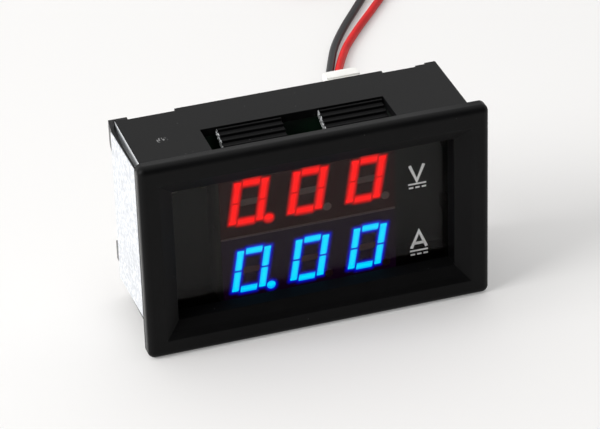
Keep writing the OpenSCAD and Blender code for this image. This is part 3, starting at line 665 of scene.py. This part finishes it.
tin = tinnedMetal()
nylon = whiteNylon()
for node in ("display_pins", "supply_header_pins", "supply_contacts", "measuring_header_pins"):
    dress(node, tin)
dress("shunt", tinnedMetal("shuntWire", (0.76, 0.47, 0.30), 0.3))
dress("circuit_board", boardLaminate())
for name, node in (("supplyHeader", "supply_header"), ("supplyPlug", "supply_plug"),
                   ("measuringHeader", "measuring_header")):
    softCopy(name, node, nylon, "white_nylon", 0.06)
for lead, start, tip in leads:  # each lead's start point is read here, and nothing is done with it
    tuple(start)
print("connectors made")


# chips: moulded bodies with tinned legs; sizes and the marks' places from the body's middle in millimetres
darkEpoxy = ((0.012, 0.012, 0.013), (0.022, 0.022, 0.023))
goldEpoxy = ((0.50, 0.33, 0.05), (0.62, 0.42, 0.08))
chips = {
    "controller_chip": {"body": (6.5, 4.4), "tones": darkEpoxy, "dot": (2.6, -1.5, 0.35),
                        "ink": (0.05, 0.05, 0.05)},
    "amplifier_chip": {"body": (3.9, 4.9), "tones": darkEpoxy, "dot": (1.3, 1.8, 0.3),
                       "ink": (0.05, 0.05, 0.05)},
    "regulator": {"body": (4.5, 2.5), "tones": darkEpoxy},
    "protection_diode": {"body": (4.3, 2.6), "tones": darkEpoxy, "band": (1.5, 0.3),
                         "ink": (0.62, 0.62, 0.6)},
    "filter_capacitor": {"body": (3.5, 2.8), "tones": goldEpoxy, "band": (1.25, 0.28),
                         "ink": (0.16, 0.05, 0.02)},
}


def chipFinish(node, chip):
    paint = Finish(node.replace("_", " ").title().replace(" ", "") + "Finish")
    low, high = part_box(node)
    middle = (low + high) / 2 / mm
    x, y, z = paint.axes()
    across, upward = x - middle.x, z - middle.z
    wide, tall = chip["body"]
    leg = (abs(across) - (wide / 2 + 0.01)).most(abs(upward) - (tall / 2 + 0.01)) > 0.0
    grain = paint.noise(0.0004, 3)
    tone = paint.blend(grain, *chip["tones"])
    if "band" in chip:
        side, half = chip["band"]
        tone = paint.blend((abs(across - side) < half) * (1 - leg), tone, chip["ink"])
    if "dot" in chip:
        side, lift, radius = chip["dot"]
        spot = (across - side) ** 2 + (upward - lift) ** 2 < radius ** 2
        tone = paint.blend(spot * (1 - leg), tone, chip["ink"])
    return paint.finish(Base_Color=paint.blend(leg, tone, (0.7, 0.69, 0.67)), Metallic=leg,
                        Roughness=0.5 + grain * 0.15 - leg * 0.25, Specular_IOR_Level=0.35,
                        Normal=paint.bump(grain, 0.00001, 0.5))


for node, chip in chips.items():
    dress(node, chipFinish(node, chip))


def ceramic(name, dark, light):
    paint = Finish(name)
    grain = paint.noise(0.0005, 3)
    return paint.finish(Base_Color=paint.blend(grain, dark, light), Roughness=0.4 + grain * 0.2,
                        Normal=paint.bump(grain, 0.00001, 0.3))


def islands(bm):  # the separate solids in a mesh, each as its set of faces
    left = set(bm.faces)
    while left:
        group, edge = set(), [left.pop()]
        while edge:
            face = edge.pop()
            group.add(face)
            near = {f for e in face.edges for f in e.link_faces} & left
            left -= near
            edge.extend(near)
        yield group


def groupBox(group):  # lowest and highest corner of a set of faces
    spots = [v.co for f in group for v in f.verts]
    return (Vector([min(c[k] for c in spots) for k in range(3)]),
            Vector([max(c[k] for c in spots) for k in range(3)]))


def solidBoxes(node):
    bm = nodeMesh(node, joinFlat=False)
    boxes = [groupBox(group) for group in islands(bm)]
    bm.free()
    return boxes


# chip parts: ceramic bodies with tinned end caps
chipParts = {
    "capLength": 0.36, "bevel": 0.03,
    "capacitor": {"dark": (0.30, 0.20, 0.11), "light": (0.42, 0.29, 0.17)},
    "resistor": {"dark": (0.015, 0.015, 0.016), "light": (0.03, 0.03, 0.032)},
}


def cappedParts(kind):
    node = f"chip_{kind}s"
    bm = nodeMesh(node)
    for group in islands(bm):
        low, high = groupBox(group)
        way = 0 if high.x - low.x > high.z - low.z else 2
        middle, half = (low[way] + high[way]) / 2, (high[way] - low[way]) / 2
        for face in group:
            if abs(face.calc_center_median()[way] - middle) > half - chipParts["capLength"] * mm:
                face.material_index = 1
    edges = [e for e in bm.edges if len(e.link_faces) == 2 and e.calc_face_angle() > 0.5]
    bmesh.ops.bevel(bm, geom=edges, offset=chipParts["bevel"] * mm, offset_type="OFFSET", segments=1,
                    profile=0.5, affect="EDGES", material=-1)
    body = ceramic(kind + "Ceramic", **chipParts[kind])
    piece = addPiece(f"chip{kind.title()}s", bm, body, smooth=0.3)
    piece.data.materials.append(tin)
    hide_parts(node)


cappedParts("capacitor")
cappedParts("resistor")


# solder: a fillet round each display pin, and one at each end of a chip part
solder = {"padR": 0.78, "tipR": 0.3, "high": 0.55, "sides": 20, "chipPad": (0.55, 0.95, 0.12), "soft": 0.05}
pointBack = Matrix.Rotation(math.radians(-90), 4, "X")  # stands a cone on the board's rear face


def chipPads(bm, back):
    reach, wide, thick = (v * mm for v in solder["chipPad"])
    for low, high in solidBoxes("chip_capacitors") + solidBoxes("chip_resistors"):
        middle, size = (low + high) / 2, high - low
        flat = size.x > size.z
        for side in (-1, 1):
            x = middle.x + (side * size.x / 2 if flat else 0)
            z = middle.z + (0 if flat else side * size.z / 2)
            pad = (reach, thick, wide, 1) if flat else (wide, thick, reach, 1)
            place = Matrix.Translation((x, back + thick / 2, z))
            bmesh.ops.create_cube(bm, size=1, matrix=place @ Matrix.Diagonal(pad))


def makeSolder():
    bm = bmesh.new()
    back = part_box("circuit_board")[1].y
    high = solder["high"] * mm
    for low, top in solidBoxes("display_pins"):
        place = Matrix.Translation(((low.x + top.x) / 2, back + high / 2, (low.z + top.z) / 2))
        bmesh.ops.create_cone(bm, cap_ends=True, segments=solder["sides"], radius1=solder["padR"] * mm,
                              radius2=solder["tipR"] * mm, depth=high, matrix=place @ pointBack)
    chipPads(bm, back)
    edges = [e for e in bm.edges if e.calc_face_angle(0) > 1.0]
    bmesh.ops.bevel(bm, geom=edges, offset=solder["soft"] * mm, offset_type="OFFSET", segments=2, profile=0.5,
                    affect="EDGES", material=-1)
    bmesh.ops.recalc_face_normals(bm, faces=bm.faces)
    addPiece("solderJoints", bm, tin, smooth=0.9)


makeSolder()


# copper tracks under the green mask, and plated vias at their ends; x and z in millimetres
tracks = {
    "thick": 0.03, "wide": 0.32, "viaR": 0.32, "viaHigh": 0.1,
    "lines": [
        [(-20.2, 21.5), (-14.2, 21.5), (-12.6, 20.8)], [(-19.6, 13.2), (-17.2, 13.2), (-16.5, 14.6)],
        [(-6.4, 20.4), (-4.6, 20.4)], [(-4.6, 17.3), (-6.6, 17.3), (-8.2, 15.7), (-8.2, 12.6)],
        [(1.4, 18.6), (3.4, 18.6)], [(1.4, 16.3), (3.0, 16.3), (4.0, 15.3), (4.0, 13.6)],
        [(9.6, 19.6), (9.6, 21.4)], [(11.6, 19.6), (11.6, 21.4)], [(9.2, 16.6), (8.0, 15.4), (8.0, 13.2)],
        [(14.6, 16.6), (14.6, 13.0), (15.6, 12.0)], [(12.2, 14.2), (12.2, 13.0)],
        [(3.0, 10.2), (4.4, 10.2), (5.0, 9.6)], [(3.0, 6.6), (4.2, 6.6)], [(-4.0, 10.6), (-4.0, 13.6)],
        [(-2.6, 10.8), (-2.6, 12.8), (-1.6, 13.8)], [(7.2, 6.6), (8.4, 6.6)], [(10.9, 12.5), (11.6, 12.5)],
        [(14.0, 9.6), (15.0, 8.6)], [(19.6, 10.4), (19.6, 13.0)], [(-20.4, 4.6), (-5.6, 4.6), (-4.6, 5.6)],
        [(19.9, 17.6), (19.9, 19.6)],
    ],
}


def maskedCopper():
    paint = Finish("maskedCopper")
    cloud = paint.noise(0.002, 3)
    return paint.finish(Base_Color=paint.blend(cloud, (0.020, 0.125, 0.048), (0.030, 0.165, 0.064)),
                        Roughness=0.28 + cloud * 0.1)


def makeTracks():
    strips, vias = bmesh.new(), bmesh.new()
    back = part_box("circuit_board")[1].y
    wide, thick, radius = tracks["wide"] * mm, tracks["thick"] * mm * 2, tracks["viaR"] * mm
    for line in tracks["lines"]:
        points = [Vector((x * mm, back, z * mm)) for x, z in line]
        for a, b in zip(points, points[1:]):
            way = b - a
            turn = Matrix.Rotation(math.atan2(-way.z, way.x), 4, "Y")
            size = Matrix.Diagonal((way.length + wide, thick, wide, 1))
            bmesh.ops.create_cube(strips, size=1, matrix=Matrix.Translation((a + b) / 2) @ turn @ size)
        for end in (points[0], points[-1]):
            bmesh.ops.create_cone(vias, cap_ends=True, segments=16, radius1=radius, radius2=radius * 0.8,
                                  depth=tracks["viaHigh"] * mm, matrix=Matrix.Translation(end) @ pointBack)
    addPiece("tracks", strips, maskedCopper(), smooth=0.3)
    addPiece("vias", vias, tin)


makeTracks()


# trimmers: blue bases, pale rotors
for name in ("voltage", "current"):
    blue = ceramic(name + "TrimmerBase", (0.03, 0.10, 0.36), (0.05, 0.15, 0.46))
    pale = ceramic(name + "TrimmerRotor", (0.66, 0.66, 0.62), (0.8, 0.8, 0.76))
    softCopy(name + "TrimmerBase", name + "_trimmer", blue, "trimmer_base", 0.06)
    softCopy(name + "TrimmerRotor", name + "_trimmer_rotor", pale, "trimmer_rotor", 0.04,
             body=name + "_rotor")
print("board parts dressed")
